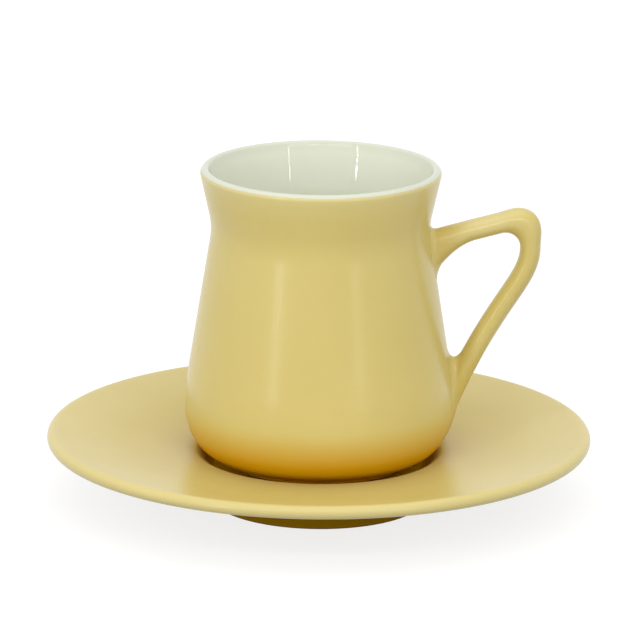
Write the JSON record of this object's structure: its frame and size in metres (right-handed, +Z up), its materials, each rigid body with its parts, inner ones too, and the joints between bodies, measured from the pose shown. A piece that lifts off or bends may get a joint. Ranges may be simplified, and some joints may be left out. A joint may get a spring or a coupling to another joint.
{
  "type": "teacup and saucer",
  "caption": "Flared teacup with a full belly and an angular open handle, standing loose in the well of a wide shallow saucer, satin yellow outside and glossy white inside.",
  "frame": {"origin": "on the shared axis of the cup and the saucer, in the plane of the saucer's foot", "axes": "+Z up along the axis, +X towards the handle, -Y towards the viewer of the picture"},
  "size_m": [0.145, 0.145, 0.0912],
  "materials": {
    "porcelain": "bare matt bisque",
    "yellow_glaze": "satin",
    "white_glaze": "gloss",
    "slip": "matt clay"
  },
  "bodies": {
    "saucer": {"saucer_body": "porcelain", "saucer_glaze": "yellow_glaze"},
    "cup": {"cup_body": "porcelain", "cup_glaze": "yellow_glaze", "cup_lining": "white_glaze", "handle": "yellow_glaze", "handle_upper_slip": "slip", "handle_lower_slip": "slip"}
  },
  "joints": [
    {"name": "cup_lift", "type": "slide", "parent": "saucer", "child": "cup", "axis": [0, 0, 1], "range_m": [0, 0.1]}
  ]
}
